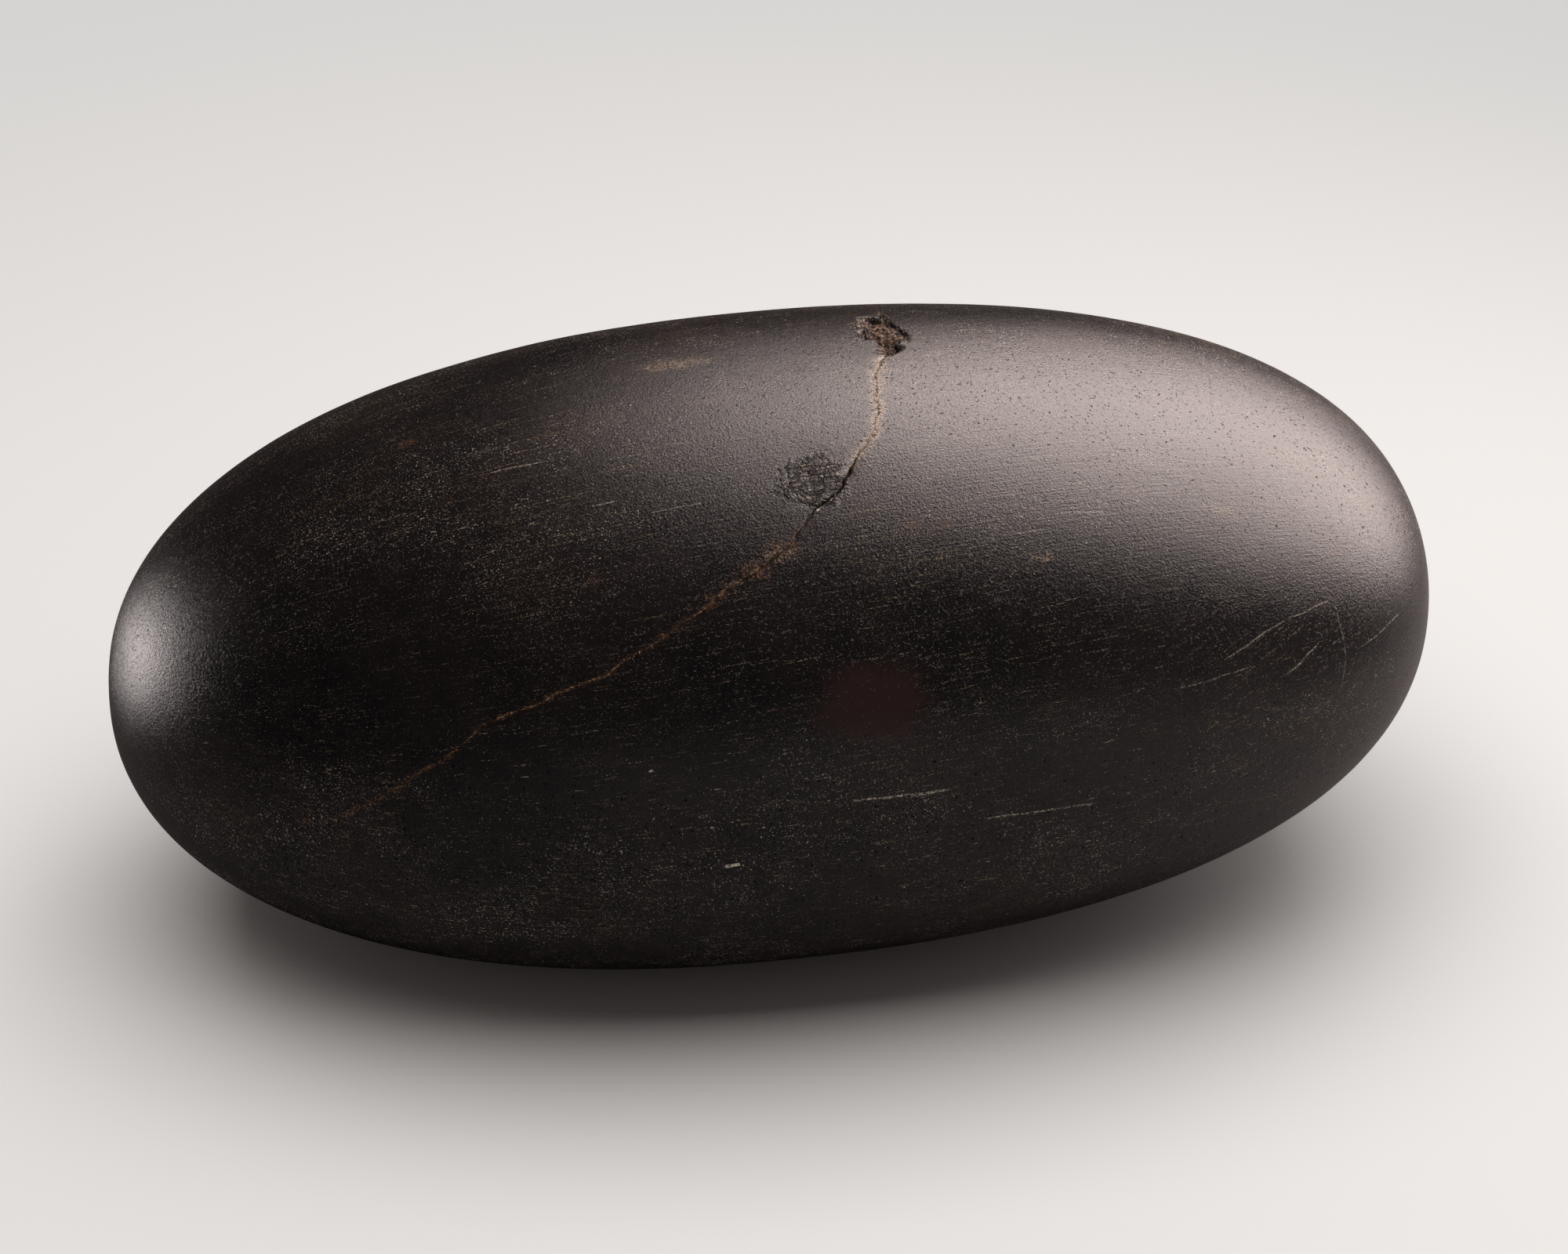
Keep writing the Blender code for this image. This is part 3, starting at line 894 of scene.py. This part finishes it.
studio = {
    "floorRadius": 0.26,
    "floorRows": 24,
    "floorTurns": 96,
    "floorFadeFrom": 0.08,              # the floor melts into the backdrop from here to its rim
    "floorColour": (0.400, 0.393, 0.386),
    "floorFinish": {"Roughness": 0.75, "Specular IOR Level": 0.1},
    # the floor as the stone's gloss shows it, at -X and +X, and where it turns from one to the other, in mm
    "floorMirrored": [(0.035, 0.030, 0.029), (0.190, 0.165, 0.158)],
    "mirroredFrom": -40.0,
    "mirroredTo": 130.0,
    "ambient": (0.34, 0.30, 0.29),      # the light on the floor
    "dim": (0.014, 0.012, 0.012),       # the room in the stone's gloss
    "backdrop": (0.66, 0.65, 0.64),
    # azimuth and elevation of the lamp from the ovoid's middle, its distance, the way that its face is turned,
    # roll, size, brightness of its face, colour, and the group of pieces that it lights
    "lamps": {
        "panel": {
            "at": (108.8, 48.9), "distance": 0.20, "faces": (145.5, 5.1), "roll": 31.8, "size": (0.234, 0.238),
            "brightness": 5.3, "colour": (1.0, 0.845, 0.80), "lights": "stoneGroup",
        },
        "leftPanel": {
            "at": (-115.8, -1.6), "distance": 0.15, "faces": (-131.6, -5.3), "roll": -26.8,
            "size": (0.045, 0.037), "brightness": 7.8, "colour": (1.0, 0.90, 0.88), "lights": "stoneGroup",
        },
        "frontCard": {
            "at": (18.0, 1.0), "distance": 0.50, "faces": (18.0, 1.0), "roll": 0.0, "size": (0.90, 0.11),
            "brightness": 0.32, "colour": (1.0, 0.86, 0.84), "lights": "stoneGroup",
        },
        "floorSide": {
            "at": (108.8, 48.9), "distance": 0.24, "faces": (120.0, 20.0), "roll": 31.8, "size": (0.30, 0.30),
            "brightness": 1.2, "colour": (1.0, 0.98, 0.965), "lights": "floorGroup",
        },
        "floorSky": {
            "at": (0.0, 89.0), "distance": 0.70, "faces": (0.0, 89.0), "roll": 0.0, "size": (0.9, 0.9),
            "brightness": 3.6, "colour": (1.0, 0.99, 0.98), "lights": "floorGroup",
        },
    },
}


def direction(azimuth, elevation):
    turn, lift = math.radians(azimuth), math.radians(elevation)
    return Vector((math.sin(turn) * math.cos(lift), -math.cos(turn) * math.cos(lift), math.sin(lift)))


def makeCamera():
    lens = bpy.data.cameras.new("camera")
    lens.lens = camera["lens"]
    lens.clip_start, lens.clip_end = camera["clip"]
    eye = bpy.data.objects.new("camera", lens)
    back = direction(camera["azimuth"], camera["elevation"])
    eye.location = Vector((0, 0, middleHeight)) + Vector(camera["aim"]) + back * camera["distance"]
    eye.rotation_euler = (-back).to_track_quat("-Z", "Y").to_euler()
    bpy.context.scene.collection.objects.link(eye)
    bpy.context.scene.camera = eye
    bpy.context.scene.view_settings.view_transform = "Standard"


def makeFloor():
    # a round pale table whose rim fades into the backdrop
    radius, rows, turns = studio["floorRadius"], studio["floorRows"], studio["floorTurns"]
    away = (np.arange(1, rows + 1) / rows * radius)[:, None]
    turn = (np.arange(turns) / turns * 2 * math.pi)[None, :]
    x, y = away * np.cos(turn), away * np.sin(turn)
    points = np.stack([x, y, np.zeros_like(x)], axis=-1).reshape(-1, 3)
    points = np.concatenate([points, [[0, 0, 0]]])
    index = np.arange(rows * turns).reshape(rows, turns)
    turned = np.roll(index, -1, axis=1)
    quads = np.stack([index[:-1], index[1:], turned[1:], turned[:-1]], axis=-1).reshape(-1, 4)
    centre = np.stack([np.full(turns, rows * turns), index[0], turned[0]], axis=-1)
    mesh = bpy.data.meshes.new("floor")
    mesh.from_pydata(points.tolist(), [], [*quads.tolist(), *centre.tolist()])
    floor = bpy.data.objects.new("floor", mesh)
    bpy.context.scene.collection.objects.link(floor)
    groups["floorGroup"].objects.link(floor)
    start, place, shader = newMaterial("paleFloor", floor, studio["floorFinish"])
    seen = start.node("LightPath", {}, {}, "Is Glossy Ray")
    lengthwise = place.dot((1, 0, 0)).step(studio["mirroredFrom"], studio["mirroredTo"])
    plug(seen.mix(studio["floorColour"], lengthwise.mix(*studio["floorMirrored"])), shader, "Base Color")
    plug(place.size().step(radius / mm, studio["floorFadeFrom"] / mm), shader, "Alpha")


def makeLamps():
    middle = Vector((0, 0, middleHeight))
    for name, look in studio["lamps"].items():
        lamp = bpy.data.lights.new(name, "AREA")
        lamp.shape = "RECTANGLE"
        lamp.size, lamp.size_y = look["size"]
        lamp.energy = look["brightness"] * 4 * lamp.size * lamp.size_y
        lamp.color = look["colour"]
        holder = bpy.data.objects.new(name, lamp)
        away = direction(*look["faces"])
        side = Vector((0, 0, 1)).cross(away).normalized()
        faced = Matrix((side, away.cross(side), away)).transposed()
        turned = faced @ Matrix.Rotation(math.radians(look["roll"]), 3, "Z")
        holder.rotation_euler = turned.to_euler()
        holder.location = middle + direction(*look["at"]) * look["distance"]
        holder.visible_camera = False
        holder.light_linking.receiver_collection = groups[look["lights"]]
        bpy.context.scene.collection.objects.link(holder)


def makeWorld():
    # a pale backdrop for the camera, a soft even light for the floor, and a dim room in the stone's gloss
    world = bpy.data.worlds.new("studio")
    world.use_nodes = True
    world.cycles.sampling_method = "NONE"  # each ray looks for itself, so it knows its kind
    bpy.context.scene.world = world
    start = Wire(world.node_tree)
    glossy = start.node("LightPath", {}, {}, "Is Glossy Ray")
    seen = start.node("LightPath", {}, {}, "Is Camera Ray")
    light = seen.mix(glossy.mix(studio["ambient"], studio["dim"]), studio["backdrop"])
    plug(light, world.node_tree.nodes["Background"], "Color")


makeCamera()
makeWorld()
groups = {name: bpy.data.collections.new(name) for name in ("stoneGroup", "floorGroup")}
makeFloor()
makeLamps()
print("studio ready")

finishStone(makeStone())
print("stone ready")
finishMineral(makeVein(lowerVein), lowerVein)
finishMineral(makeVein(upperVein), upperVein)
finishMineral(makeCrust(), crust)
print("minerals ready")
